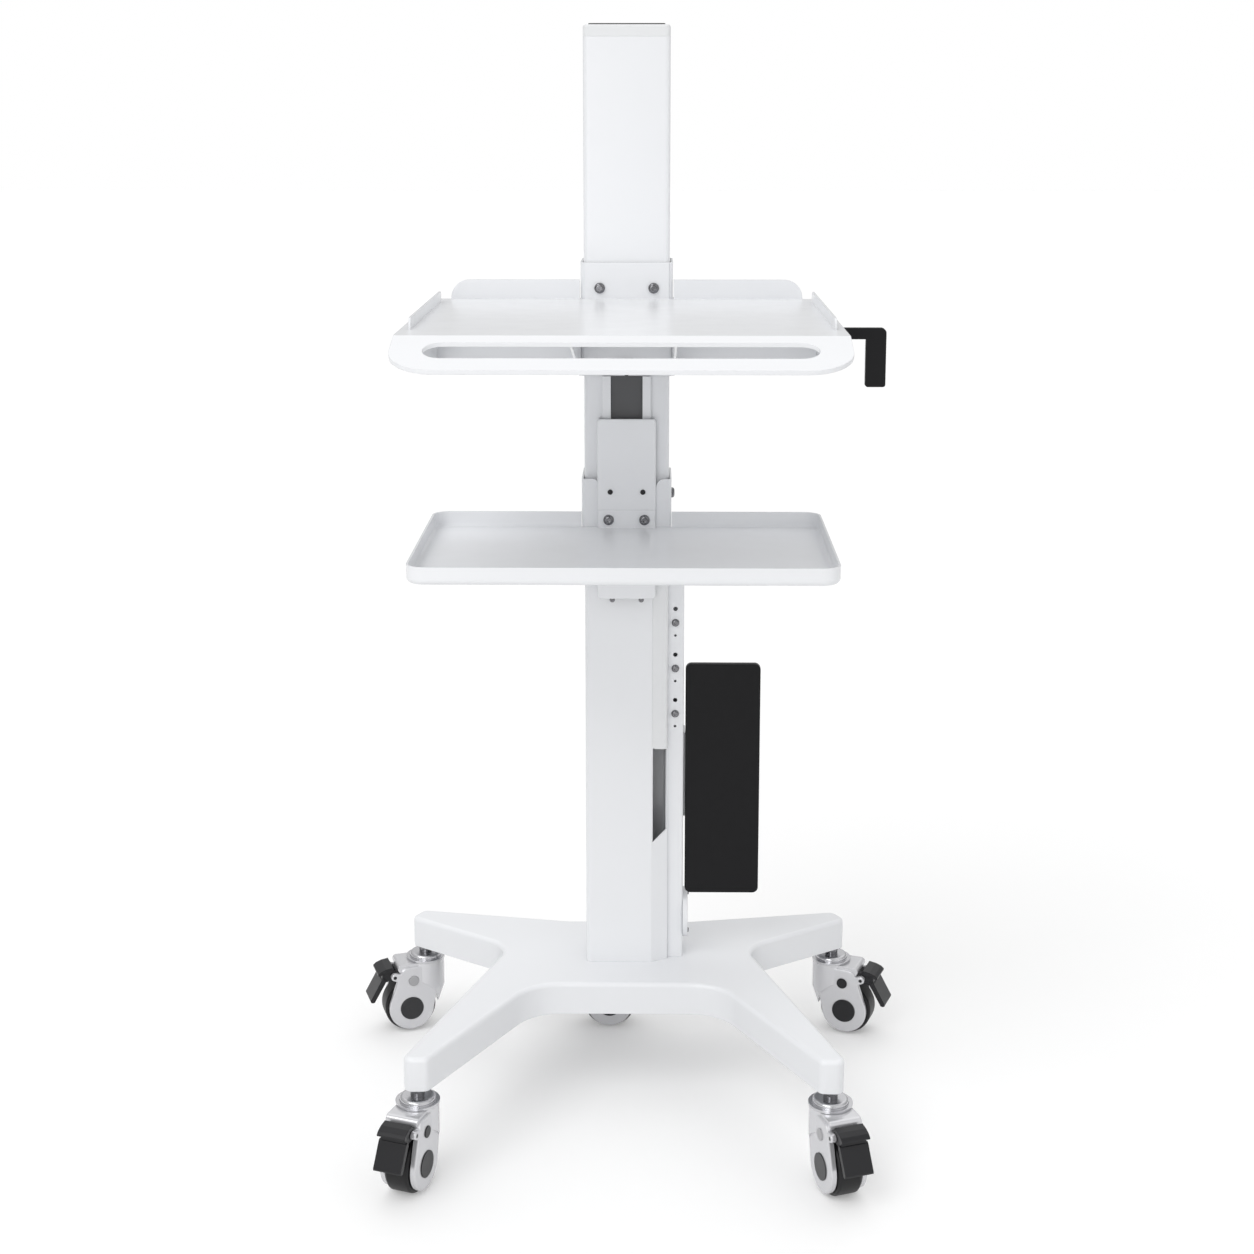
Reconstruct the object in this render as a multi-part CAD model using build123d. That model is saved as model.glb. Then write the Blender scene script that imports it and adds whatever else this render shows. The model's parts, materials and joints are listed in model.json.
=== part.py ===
from build123d import *
import math
import os

# Adjustable equipment trolley, millimetres. X is to the right, Y is away from the viewer, Z is up.
# While it is modelled, the column's front face is y = 0 and the floor is z = 0. At the end the whole
# assembly is moved so that the middle of its outline is at x = y = 0.

# Column
COLUMN_WIDTH = 112.0
COLUMN_DEPTH = 72.0
COLUMN_WALL = 3.0
COLUMN_CORNER = 6.0
COLUMN_TOP = 1424.0
FOOT_PLATE = 8.0

# Cable channel in the column's right front corner
CHANNEL_WIDTH = 22.0
CHANNEL_DEPTH = 12.0
CHANNEL_TOP = 785.0
STRIP_BOTTOM = 478.0
OPENING_BOTTOM = 344.0
OPENING_SLANT = 16.0
STRIP_GAP = 0.8

# Base casting
BASE_TOP = 169.0
BASE_HEIGHT = 44.0
BASE_WALL = 6.0
BASE_DECK = 8.0
BASE_EDGE = 6.0
BOSS_RADIUS = 13.0
RIB_WIDTH = 5.0
RIB_HEIGHT = 20.0
FRONT_KNEE = (150.0, -20.0)
REAR_KNEE = (125.0, 97.0)
FOOT_BOLT_X = 38.0
FOOT_BOLT_INSET = 13.0
FOOT_BOLT = 10.0

# Casters: stem position and the direction in which the wheel trails, in degrees
FRONT_STEM = (260.0, -278.0)
REAR_STEM = (299.0, 159.0)
MIDDLE_STEM = (0.0, 166.0)
FRONT_LEFT_TRAIL = 250.0
FRONT_RIGHT_TRAIL = 290.0
REAR_LEFT_TRAIL = 199.0
REAR_RIGHT_TRAIL = 339.0
MIDDLE_TRAIL = 180.0
WHEEL_RADIUS = 37.5
TYRE_THICKNESS = 9.0
TYRE_WIDTH = 32.0
TRAIL = 27.0
AXLE = 8.0
STEM = 12.0
STEM_REACH = 33.0
FORK_GAP = 35.0
FORK_PLATE = 7.0
COVER_RADIUS = 33.0
FORK_TOP = 105.0
TURRET_RADIUS = 27.0
TURRET_HEIGHT = 42.0
TURRET_TAPER = 24.0
CAP_RADIUS = 28.0
CAP_HEIGHT = 9.0
HUB_CAP_RADIUS = 17.0
PIN_CAP_RADIUS = 7.5
TRIM_PROUD = 1.2
PEDAL_WIDTH = 38.0
PEDAL_PIN = 5.0

# Fits
RUNNING = 0.05
PASSING = 0.2
SLIDE = 0.08

# Front rail, its dark insert and the tray carriage
RAIL_WIDTH = 63.6
RAIL_DEPTH = 9.0
RAIL_WALL = 2.0
RAIL_SLOT = 41.6
RAIL_BOTTOM = 692.0
RAIL_TOP = 990.0
CARRIAGE_WIDTH = 77.0
CARRIAGE_FRONT = -20.0
CARRIAGE_BOTTOM = 693.0
CARRIAGE_TOP = 935.0
SHEET = 2.5
GLIDE_HEIGHT = 28.0
GLIDE_SCREW_X = 21.5
GLIDE_SCREW_UPPER = 838.0
GLIDE_SCREW_LOWER = 722.0
STOP_SCREW_X = 19.4
STOP_SCREW_DROP = 5.0
SMALL_SCREW = 4.0

# Lower tray
TRAY_WIDTH = 510.0
TRAY_FRONT = -340.0
TRAY_RIM = 810.0
TRAY_HEIGHT = 22.0
TRAY_CORNER = 22.0
TRAY_BEND = 7.0
TRAY_STEP = 0.5
TAB_RISE = 4.0
TRAY_SHEET = 2.0
TRAY_SCREW_X = 23.6
LARGE_SCREW = 8.0

# Tray collar
COLLAR_AIR = 0.7
TRAY_COLLAR_TOP = 854.0
WING_CURVE = 12.0
WING_CURVE_LEFT = 5.0
CLAMP_HEIGHT = 830.0
CLAMP_SETBACK = 20.0

# Upper shelf and its collar
SHELF_TOP = 1091.0
SHELF_SHEET = 5.0
SHELF_WIDTH = 500.0
SHELF_DEPTH = 424.0
HANDLE_LENGTH = 94.0
HANDLE_ANGLE = 16.5
HANDLE_CORNER = 52.0
HANDLE_SLOT_WIDTH = 428.0
HANDLE_SLOT = 42.0
HANDLE_SLOT_SETBACK = 20.0
LIP_INSET = 10.0
LIP_HEIGHT = 13.0
LIP_FRONT = 372.0
LIP_BACK = 40.0
BACK_LIP_HEIGHT = 25.0
BACK_LIP_INNER = 61.0
BACK_LIP_OUTER = 228.0
APRON_BOTTOM = 995.0
SIDE_FLANGE_FRONT = 20.0
TAB_HALF_WIDTH = 55.0
UPPER_COLLAR_TOP = 1138.0
LINER = 1.5
UPPER_SCREW_X = 35.0
UPPER_SCREW_HEIGHT = 1105.0
ARM_REACH = 330.0
ARM_FLANGE = 14.0
ARM_NOSE = 14.0
KNOB_RADIUS = 9.0
KNOB_LENGTH = 20.0
KNOB_LIFT = 11.5

# Side hook
HOOK_SETBACK = 300.0
HOOK_REACH = 303.4
HOOK_LEG = 23.4
HOOK_BAR = 13.0
HOOK_DROP = 68.5
HOOK_THICKNESS = 8.0
HOOK_FOOT = 46.0
HOOK_FOOT_WIDTH = 30.0
HOOK_SCREW = 5.0

# Side duct, round flange and dark panel
DUCT_WIDTH = 21.5
DUCT_SETBACK = 18.0
DUCT_DEPTH = 50.0
DUCT_WALL = 2.2
DUCT_TOP = 717.0
DUCT_PITCH = 64.0
DUCT_FIRST_HOLE = 542.0
DUCT_HOLES = 3
DUCT_HOLE = 6.0
DUCT_SMALL_HOLE = 3.5
DUCT_SCREW = 6.0
FLANGE_RADIUS = 34.5
FLANGE_THICKNESS = 7.0
FLANGE_BORE = 15.0
FLANGE_HEIGHT = 226.5
FLANGE_SCREW_RADIUS = 28.0
PANEL_LEFT = 80.0
PANEL_WIDTH = 102.0
PANEL_BOTTOM = 263.0
PANEL_HEIGHT = 329.0
PANEL_THICKNESS = 10.0
PANEL_SETBACK = 20.0
PANEL_CORNER = 8.0
BRACKET_BOTTOM = 372.0
BRACKET_TOP = 492.0
BRACKET_RIGHT = 152.0

# Top cap
CAP_RISE = 15.0
CAP_SPIGOT = 14.0
PAD_WIDTH = 98.0
PAD_DEPTH = 58.0
PAD_PROUD = 1.5
PAD_SINK = 2.5

HALF = COLUMN_WIDTH / 2
COLLAR_INNER = HALF + COLLAR_AIR
COLLAR_OUTER = COLLAR_INNER + SHEET
UPPER_INNER = HALF + LINER
UPPER_OUTER = UPPER_INNER + SHEET
CHANNEL_LEFT = HALF - CHANNEL_WIDTH
DUCT_RIGHT = HALF + DUCT_WIDTH
DUCT_MIDDLE = DUCT_SETBACK + DUCT_DEPTH / 2
TRAY_FLOOR = TRAY_RIM - TRAY_HEIGHT + TRAY_SHEET
TRAY_SCREW_HEIGHT = TRAY_RIM - 9.0
WING_FRONT = -RAIL_DEPTH - LINER - SHEET
BASE_BOTTOM = BASE_TOP - BASE_HEIGHT
CAP_TOP = COLUMN_TOP + CAP_RISE
KNOB_HEIGHT = RAIL_TOP + KNOB_LIFT
STOP_SCREW_HEIGHT = RAIL_BOTTOM - STOP_SCREW_DROP
RIB_BOTTOM = BASE_TOP - BASE_DECK - RIB_HEIGHT
FOOT_BOLT_SEAT = BASE_TOP - BASE_DECK - RIB_HEIGHT / 2


def block(x0, x1, y0, y1, z0, z1):
    """Box between two corners."""
    middle = ((x0 + x1) / 2, (y0 + y1) / 2, (z0 + z1) / 2)
    return Pos(*middle) * Box(abs(x1 - x0), abs(y1 - y0), abs(z1 - z0))


def rod(radius, start, end):
    """Round bar from one point to another."""
    axis = Vector(*end) - Vector(*start)
    plane = Plane(origin=start, z_dir=axis)
    return plane * Cylinder(radius, axis.length, align=(Align.CENTER, Align.CENTER, Align.MIN))


def slab(outline, bottom, top):
    """Flat outline in XY, extruded between two heights."""
    return extrude(Plane.XY.offset(bottom) * outline, amount=top - bottom)


def front_slab(outline, front, back):
    """Outline drawn in X and Z, extruded from y = front to y = back."""
    plane = Plane(origin=(0, front, 0), x_dir=(1, 0, 0), z_dir=(0, -1, 0))
    return extrude(plane * outline, amount=-(back - front))


def side_slab(outline, left, right):
    """Outline drawn in Y and Z, extruded from x = left to x = right."""
    plane = Plane(origin=(left, 0, 0), x_dir=(0, 1, 0), z_dir=(1, 0, 0))
    return extrude(plane * outline, amount=right - left)


def mirrored(shape):
    """The shape together with its mirror image across x = 0."""
    return shape + mirror(shape, about=Plane.YZ)


def ring(half_width, front, back, wall, corner, bottom, top):
    """Closed sheet band: inner half width, inner front and back, sheet thickness."""
    middle = (front + back) / 2
    outer = RectangleRounded(2 * (half_width + wall), back - front + 2 * wall, corner + wall)
    inner = RectangleRounded(2 * half_width, back - front, corner)
    return slab(Pos(0, middle) * (outer - inner), bottom, top)


def button_screw(seat, outward, size, length):
    """Button-head socket screw: seat point, direction in which the head points, thread and length."""
    plane = Plane(origin=seat, z_dir=outward)
    head_radius = 0.875 * size
    head_height = 0.55 * size
    head = Cylinder(head_radius, head_height, align=(Align.CENTER, Align.CENTER, Align.MIN))
    head = fillet(head.edges().group_by(Axis.Z)[-1], 0.45 * size)
    socket = extrude(RegularPolygon(0.35 * size, 6), amount=head_height)
    head -= Pos(0, 0, 0.4 * head_height) * socket
    shank = Cylinder(size / 2, length, align=(Align.CENTER, Align.CENTER, Align.MAX))
    return plane * (head + shank)


def hex_bolt(seat, outward, size, length):
    """Hexagon-head bolt seated at a point."""
    plane = Plane(origin=seat, z_dir=outward)
    head = extrude(RegularPolygon(0.8 * size, 6, major_radius=False), amount=0.64 * size)
    shank = Cylinder(size / 2, length, align=(Align.CENTER, Align.CENTER, Align.MAX))
    return plane * (head + shank)


def together(solids):
    """Several loose identical pieces in one file."""
    return Compound(children=[solid for solid in solids])


# Base casting and what stands on it
def base_outline(inset):
    """Plan outline of the base, moved inwards by inset."""
    half = [
        ((126, -71), 68), ((246, -292), 9), ((281, -294), 12), ((167, 52), 45), ((319, 154), 12),
        ((302, 181), 12), ((86, 143), 60), ((46, 143), 14), ((26, 187), 14),
    ]
    points = [point for point, radius in half]
    points += [(-x, y) for x, y in reversed(points)]
    radii = [radius for point, radius in half]
    radii += list(reversed(radii))
    outline = make_face(Polyline(*points, close=True))
    for point, radius in zip(points, radii):
        corner = outline.vertices().sort_by_distance((point[0], point[1], 0))[0]
        outline = fillet(corner, radius)
    if inset:
        outline = offset(outline, amount=-inset, kind=Kind.INTERSECTION)
    return outline


def stem_places():
    """Name, stem position and trail direction of the five casters."""
    fx, fy = FRONT_STEM
    rx, ry = REAR_STEM
    return [
        ("front_left", (-fx, fy), FRONT_LEFT_TRAIL),
        ("front_right", (fx, fy), FRONT_RIGHT_TRAIL),
        ("rear_left", (-rx, ry), REAR_LEFT_TRAIL),
        ("rear_right", (rx, ry), REAR_RIGHT_TRAIL),
        ("rear_middle", MIDDLE_STEM, MIDDLE_TRAIL),
    ]


def foot_bolt_places():
    """Plan positions of the four bolts under the column."""
    rows = (FOOT_BOLT_INSET, COLUMN_DEPTH - FOOT_BOLT_INSET)
    return [(x, y) for x in (-FOOT_BOLT_X, FOOT_BOLT_X) for y in rows]


def rib(start, end):
    """Upright rib under the deck between two plan points."""
    length = math.hypot(end[0] - start[0], end[1] - start[1])
    angle = math.degrees(math.atan2(end[1] - start[1], end[0] - start[0]))
    middle = Pos((start[0] + end[0]) / 2, (start[1] + end[1]) / 2)
    outline = middle * Rot(0, 0, angle) * Rectangle(length + RIB_WIDTH / 2, RIB_WIDTH)
    return slab(outline, RIB_BOTTOM, BASE_TOP - BASE_DECK + 1)


def base_frame():
    """Ribbed hollow casting, open below, with a bored boss at each leg tip."""
    body = slab(base_outline(0), BASE_BOTTOM, BASE_TOP)
    body = fillet(body.edges().group_by(Axis.Z)[-1], BASE_EDGE)
    pocket = slab(base_outline(BASE_WALL), BASE_BOTTOM, BASE_TOP - BASE_DECK)
    ribs = block(-RIB_WIDTH / 2, RIB_WIDTH / 2, COLUMN_DEPTH / 2, MIDDLE_STEM[1], RIB_BOTTOM, BASE_TOP - BASE_DECK + 1)
    for stem, knee in ((FRONT_STEM, FRONT_KNEE), (REAR_STEM, REAR_KNEE)):
        ribs += mirrored(rib(stem, knee) + rib(knee, (0, COLUMN_DEPTH / 2)))
    for name, (x, y), trail in stem_places():
        ribs += rod(BOSS_RADIUS, (x, y, BASE_BOTTOM), (x, y, BASE_TOP - BASE_DECK + 1))
    pad = block(-HALF, HALF, 0, COLUMN_DEPTH, FOOT_BOLT_SEAT, BASE_TOP - BASE_DECK + 1)
    body = body - pocket + ribs + pad
    for x, y in foot_bolt_places():
        body -= rod(FOOT_BOLT, (x, y, BASE_BOTTOM), (x, y, FOOT_BOLT_SEAT))
        body -= rod(FOOT_BOLT / 2 + PASSING, (x, y, BASE_BOTTOM), (x, y, BASE_TOP + 1))
    for name, (x, y), trail in stem_places():
        body -= rod(STEM / 2 + RUNNING, (x, y, BASE_BOTTOM - 1), (x, y, BASE_BOTTOM + STEM_REACH))
    return body


def foot_bolts():
    """Four bolts that hold the column on the base, from below."""
    length = BASE_TOP + FOOT_PLATE - FOOT_BOLT_SEAT
    bolts = [hex_bolt((x, y, FOOT_BOLT_SEAT), (0, 0, -1), FOOT_BOLT, length) for x, y in foot_bolt_places()]
    return together(bolts)


# Column
def column_outline(inset, with_channel):
    """Plan outline of the column, full or with the cut right front corner."""
    outline = Pos(0, COLUMN_DEPTH / 2) * RectangleRounded(COLUMN_WIDTH, COLUMN_DEPTH, COLUMN_CORNER)
    if with_channel:
        corner = Polyline(
            (CHANNEL_LEFT, -1), (CHANNEL_LEFT, 0), (HALF, CHANNEL_DEPTH), (HALF + 1, CHANNEL_DEPTH), (HALF + 1, -1),
            close=True,
        )
        outline -= make_face(corner)
    if inset:
        outline = offset(outline, amount=-inset, kind=Kind.INTERSECTION)
    return outline


def column():
    """Sheet-steel tube with a cable channel in one corner and a foot plate inside."""
    lower = slab(column_outline(0, True), BASE_TOP, CHANNEL_TOP)
    lower -= slab(column_outline(COLUMN_WALL, True), BASE_TOP + FOOT_PLATE, CHANNEL_TOP)
    upper = slab(column_outline(0, False), CHANNEL_TOP, COLUMN_TOP)
    upper -= slab(column_outline(COLUMN_WALL, False), CHANNEL_TOP, COLUMN_TOP)
    body = lower + upper
    opening = Polyline(
        (CHANNEL_LEFT + 1.5, STRIP_BOTTOM), (HALF - 1.5, STRIP_BOTTOM), (HALF - 1.5, OPENING_BOTTOM + OPENING_SLANT),
        (CHANNEL_LEFT + 1.5, OPENING_BOTTOM), close=True,
    )
    body -= front_slab(make_face(opening), -1, CHANNEL_DEPTH + COLUMN_WALL + 1)
    for x, y in foot_bolt_places():
        body -= rod(FOOT_BOLT / 2, (x, y, BASE_TOP - 1), (x, y, BASE_TOP + FOOT_PLATE + 1))
    for x in (-STOP_SCREW_X, STOP_SCREW_X):
        body -= rod(SMALL_SCREW / 2, (x, -1, STOP_SCREW_HEIGHT), (x, COLUMN_WALL + 1, STOP_SCREW_HEIGHT))
    return body


def corner_strip():
    """Cover strip that closes the cable channel, with a small tongue at its lower end."""
    full = Pos(0, COLUMN_DEPTH / 2) * RectangleRounded(COLUMN_WIDTH, COLUMN_DEPTH, COLUMN_CORNER)
    wedge = Polyline(
        (CHANNEL_LEFT + STRIP_GAP, -1), (CHANNEL_LEFT + STRIP_GAP, STRIP_GAP * CHANNEL_DEPTH / CHANNEL_WIDTH),
        (HALF + 1, CHANNEL_DEPTH * (1 + 1 / CHANNEL_WIDTH)), (HALF + 1, -1), close=True,
    )
    strip = slab(make_face(wedge) & full, STRIP_BOTTOM, CHANNEL_TOP)
    low_corner = strip.edges().filter_by(Axis.Y).group_by(Axis.Z)[0].sort_by(Axis.X)[0]
    strip = fillet(low_corner, 5.0)
    return strip


def top_cap():
    """Moulded end cap of the column with a spigot and a recess for the pad."""
    cap = slab(column_outline(0, False), COLUMN_TOP, CAP_TOP)
    cap = fillet(cap.edges().group_by(Axis.Z)[-1], 4.0)
    spigot = slab(column_outline(COLUMN_WALL + RUNNING, False), COLUMN_TOP - CAP_SPIGOT, COLUMN_TOP)
    hollow = slab(column_outline(2 * COLUMN_WALL, False), COLUMN_TOP - CAP_SPIGOT, COLUMN_TOP + 9)
    recess = Pos(0, COLUMN_DEPTH / 2) * RectangleRounded(PAD_WIDTH, PAD_DEPTH, 5)
    return cap + spigot - hollow - slab(recess, CAP_TOP - PAD_SINK, CAP_TOP + 1)


def top_pad():
    """Dark pad that sits in the recess of the top cap."""
    outline = Pos(0, COLUMN_DEPTH / 2) * RectangleRounded(PAD_WIDTH, PAD_DEPTH, 5)
    return slab(outline, CAP_TOP - PAD_SINK, CAP_TOP + PAD_PROUD)


# Front rail and the things that run on it
def front_rail():
    """Lipped channel on the column's front face."""
    rail = block(-RAIL_WIDTH / 2, RAIL_WIDTH / 2, -RAIL_DEPTH, 0, RAIL_BOTTOM, RAIL_TOP)
    inside = RAIL_WIDTH / 2 - RAIL_WALL
    rail -= block(-inside, inside, RAIL_WALL - RAIL_DEPTH, -RAIL_WALL, RAIL_BOTTOM - 1, RAIL_TOP + 1)
    rail -= block(-RAIL_SLOT / 2, RAIL_SLOT / 2, -RAIL_DEPTH - 1, -RAIL_WALL, RAIL_BOTTOM - 1, RAIL_TOP + 1)
    return rail


def rail_insert():
    """Dark strip that lines the bottom of the rail's slot."""
    inside = RAIL_WIDTH / 2 - RAIL_WALL - PASSING
    return block(-inside, inside, -RAIL_WALL - 2.5, -RAIL_WALL, RAIL_BOTTOM, RAIL_TOP)


def carriage():
    """Tall U-shaped carriage plate with rounded lower corners."""
    half = CARRIAGE_WIDTH / 2
    outline = RectangleRounded(CARRIAGE_WIDTH, CARRIAGE_TOP - CARRIAGE_BOTTOM, 5)
    outline = Pos(0, (CARRIAGE_TOP + CARRIAGE_BOTTOM) / 2) * outline
    body = front_slab(outline, CARRIAGE_FRONT, -1.0)
    body = fillet(body.edges().filter_by(Axis.Z).group_by(Axis.Y)[0], 2.0)
    body -= block(SHEET - half, half - SHEET, CARRIAGE_FRONT + SHEET, 0, CARRIAGE_BOTTOM - 1, CARRIAGE_TOP + 1)
    for height in (GLIDE_SCREW_UPPER, GLIDE_SCREW_LOWER):
        for x in (-GLIDE_SCREW_X, GLIDE_SCREW_X):
            body -= rod(SMALL_SCREW / 2, (x, CARRIAGE_FRONT - 1, height), (x, 0, height))
    for x in (-TRAY_SCREW_X, TRAY_SCREW_X):
        body -= rod(LARGE_SCREW / 2, (x, CARRIAGE_FRONT - 1, TRAY_SCREW_HEIGHT), (x, 0, TRAY_SCREW_HEIGHT))
    return body


def carriage_glides():
    """Two plastic blocks in the carriage that straddle the rail."""
    half = CARRIAGE_WIDTH / 2 - SHEET
    inside = RAIL_WIDTH / 2 + SLIDE
    blocks = []
    for height in (GLIDE_SCREW_UPPER, GLIDE_SCREW_LOWER):
        low = height - GLIDE_HEIGHT / 2
        high = height + GLIDE_HEIGHT / 2
        glide = block(-half, half, CARRIAGE_FRONT + SHEET, -2.0, low, high)
        glide -= block(-inside, inside, -RAIL_DEPTH - SLIDE, 0, low - 1, high + 1)
        for x in (-GLIDE_SCREW_X, GLIDE_SCREW_X):
            glide -= rod(SMALL_SCREW / 2, (x, CARRIAGE_FRONT - 1, height), (x, 0, height))
        blocks.append(glide)
    return together(blocks)


def carriage_screws():
    """Four small screws that hold the glides."""
    screws = []
    for height in (GLIDE_SCREW_UPPER, GLIDE_SCREW_LOWER):
        for x in (-GLIDE_SCREW_X, GLIDE_SCREW_X):
            screws.append(button_screw((x, CARRIAGE_FRONT, height), (0, -1, 0), SMALL_SCREW, 9.0))
    return together(screws)


def tray_collar():
    """Band round the column with two front wings that stand on the tray."""
    back = COLUMN_DEPTH + COLLAR_AIR
    front = WING_FRONT + SHEET
    body = ring(COLLAR_INNER, front, back, SHEET, 2.0, TRAY_FLOOR - TRAY_STEP, TRAY_COLLAR_TOP)
    half = CARRIAGE_WIDTH / 2
    body -= block(-half, half, WING_FRONT - 1, 0, TRAY_FLOOR - 1, TRAY_COLLAR_TOP + 1)
    # the curve at the inner upper corner is larger on the right wing
    for side, radius in ((-1, WING_CURVE_LEFT), (1, WING_CURVE)):
        square = Pos(side * (half + radius / 2), TRAY_COLLAR_TOP - radius / 2) * Rectangle(radius, radius)
        curve = square - Pos(side * (half + radius), TRAY_COLLAR_TOP - radius) * Circle(radius)
        body -= front_slab(curve, WING_FRONT - 1, 0)
    body -= rod(LARGE_SCREW / 2, (HALF, CLAMP_SETBACK, CLAMP_HEIGHT), (COLLAR_OUTER + 1, CLAMP_SETBACK, CLAMP_HEIGHT))
    return body


def clamp_screw():
    """Screw in the side of the tray collar that clamps the tray on the column."""
    seat = (COLLAR_OUTER, CLAMP_SETBACK, CLAMP_HEIGHT)
    return button_screw(seat, (1, 0, 0), LARGE_SCREW, COLLAR_OUTER - HALF - RUNNING)


def lower_tray():
    """Drawn tray with a notched back wall and a bolted centre tab."""
    back = WING_FRONT + SHEET
    depth = back - TRAY_FRONT
    middle = (back + TRAY_FRONT) / 2
    bottom = TRAY_RIM - TRAY_HEIGHT
    body = slab(Pos(0, middle) * RectangleRounded(TRAY_WIDTH, depth, TRAY_CORNER), bottom, TRAY_RIM)
    body = fillet(body.edges().group_by(Axis.Z)[0], TRAY_BEND)
    inner = RectangleRounded(TRAY_WIDTH - 2 * SHEET, depth - 2 * SHEET, TRAY_CORNER - SHEET)
    hollow = slab(Pos(0, middle) * inner, TRAY_FLOOR, TRAY_RIM + 20)
    hollow = fillet(hollow.edges().group_by(Axis.Z)[0], TRAY_BEND - SHEET)
    body -= hollow
    half = CARRIAGE_WIDTH / 2
    body -= mirrored(block(half, COLLAR_OUTER + 0.4, back - TRAY_BEND - SHEET, back + 1, TRAY_FLOOR, TRAY_RIM + 1))
    # the wings' feet stand on a ledge just below and behind the flat floor
    ledge = TRAY_FLOOR - TRAY_STEP
    body += mirrored(block(half + 1, COLLAR_OUTER, back - TRAY_BEND - 1, back, bottom, ledge))
    body -= mirrored(block(half, COLLAR_OUTER + 0.4, WING_FRONT - TRAY_STEP, back + 1, ledge, TRAY_RIM + 1))
    body -= block(-half - 0.2, half + 0.2, CARRIAGE_FRONT, back + 1, bottom - 1, TRAY_RIM + 1)
    body += block(1 - half, half - 1, CARRIAGE_FRONT - TRAY_SHEET, CARRIAGE_FRONT, bottom, TRAY_RIM + TAB_RISE)
    for x in (-TRAY_SCREW_X, TRAY_SCREW_X):
        start = (x, CARRIAGE_FRONT - 5, TRAY_SCREW_HEIGHT)
        body -= rod(LARGE_SCREW / 2 + PASSING, start, (x, 0, TRAY_SCREW_HEIGHT))
    return body


def tray_screws():
    """Two large button-head screws through the tray's centre tab."""
    seat = CARRIAGE_FRONT - TRAY_SHEET
    places = [(x, seat, TRAY_SCREW_HEIGHT) for x in (-TRAY_SCREW_X, TRAY_SCREW_X)]
    return together([button_screw(place, (0, -1, 0), LARGE_SCREW, 9.0) for place in places])


# Upper shelf
def shelf_handle():
    """Bent-down front zone of the shelf with the long hand slot, drawn flat and then tilted."""
    plate = Rectangle(SHELF_WIDTH, HANDLE_LENGTH, align=(Align.CENTER, Align.MAX))
    corners = plate.vertices().group_by(Axis.Y)[0]
    plate = fillet(corners, HANDLE_CORNER)
    slot = Pos(0, -HANDLE_SLOT_SETBACK - HANDLE_SLOT / 2) * RectangleRounded(HANDLE_SLOT_WIDTH, HANDLE_SLOT, HANDLE_SLOT / 2 - 0.1)
    flat = extrude(plate - slot, amount=-SHELF_SHEET)
    bend = Pos(0, -SHELF_DEPTH - 6.5 + 2.5, SHELF_TOP) * Rot(HANDLE_ANGLE, 0, 0)
    return bend * flat


def upper_shelf():
    """Sheet shelf: bent front handle, side lips, back lips, centre tab and rear apron."""
    back = -LINER - SHEET
    front = back - SHELF_DEPTH
    half = SHELF_WIDTH / 2
    low = SHELF_TOP - SHELF_SHEET
    body = block(-half, half, front, back, low, SHELF_TOP)
    body += shelf_handle()
    lip = block(half - LIP_INSET - SHEET, half - LIP_INSET, -LIP_FRONT, -LIP_BACK, low, SHELF_TOP + LIP_HEIGHT)
    rounded = lip.edges().filter_by(Axis.X).group_by(Axis.Z)[-1]
    body += mirrored(fillet(rounded, 6.0))
    wing = block(BACK_LIP_INNER, BACK_LIP_OUTER, back - SHEET, back, SHELF_TOP - 1, SHELF_TOP + BACK_LIP_HEIGHT)
    outer_corner = wing.edges().filter_by(Axis.Y).group_by(Axis.Z)[-1].sort_by(Axis.X)[-1]
    body += mirrored(fillet(outer_corner, BACK_LIP_HEIGHT - 1))
    body += block(-TAB_HALF_WIDTH, TAB_HALF_WIDTH, back - SHEET, back, SHELF_TOP - 1, UPPER_COLLAR_TOP)
    body += mirrored(block(UPPER_OUTER + SHEET + PASSING, half, back - SHEET, back, APRON_BOTTOM, low + 1))
    taper = Polyline(
        (back, APRON_BOTTOM), (back, low + 1), (front + 4, low + 1), (front + 4, low - SIDE_FLANGE_FRONT), close=True)
    body += mirrored(side_slab(make_face(taper), half - SHEET, half))
    notch = block(half - SHEET - 1, half + 1, -HOOK_SETBACK - 6, -HOOK_SETBACK + 22, low - HOOK_BAR - 1.5, low)
    body -= notch
    for x in (-UPPER_SCREW_X, UPPER_SCREW_X):
        start = (x, back - SHEET - 1, UPPER_SCREW_HEIGHT)
        body -= rod(LARGE_SCREW / 2 + PASSING, start, (x, back + 1, UPPER_SCREW_HEIGHT))
    for x, y in hook_screw_places():
        body -= rod(HOOK_SCREW / 2, (x, y, low - 1), (x, y, SHELF_TOP - 1.5))
    return body


def upper_collar():
    """Band round the column with two arms that carry the shelf."""
    back = COLUMN_DEPTH + LINER
    low = SHELF_TOP - SHELF_SHEET
    body = ring(UPPER_INNER, -LINER, back, SHEET, 2.0, RAIL_TOP, UPPER_COLLAR_TOP)
    profile = Polyline(
        (back, RAIL_TOP), (back, low), (-ARM_REACH, low), (-ARM_REACH, low - ARM_NOSE), (-LINER, RAIL_TOP), close=True,
    )
    arm = side_slab(make_face(profile), UPPER_OUTER - 0.5, UPPER_OUTER + SHEET)
    arm += block(UPPER_OUTER, UPPER_OUTER + ARM_FLANGE, -ARM_REACH, -LINER - 2 * SHEET, low - SHEET, low)
    body += mirrored(arm)
    for x in (-UPPER_SCREW_X, UPPER_SCREW_X):
        start = (x, -LINER - SHEET - 1, UPPER_SCREW_HEIGHT)
        body -= rod(LARGE_SCREW / 2, start, (x, 0, UPPER_SCREW_HEIGHT))
    body -= rod(SMALL_SCREW, (0, -LINER - SHEET - 1, KNOB_HEIGHT), (0, 0, KNOB_HEIGHT))
    return body


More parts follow.
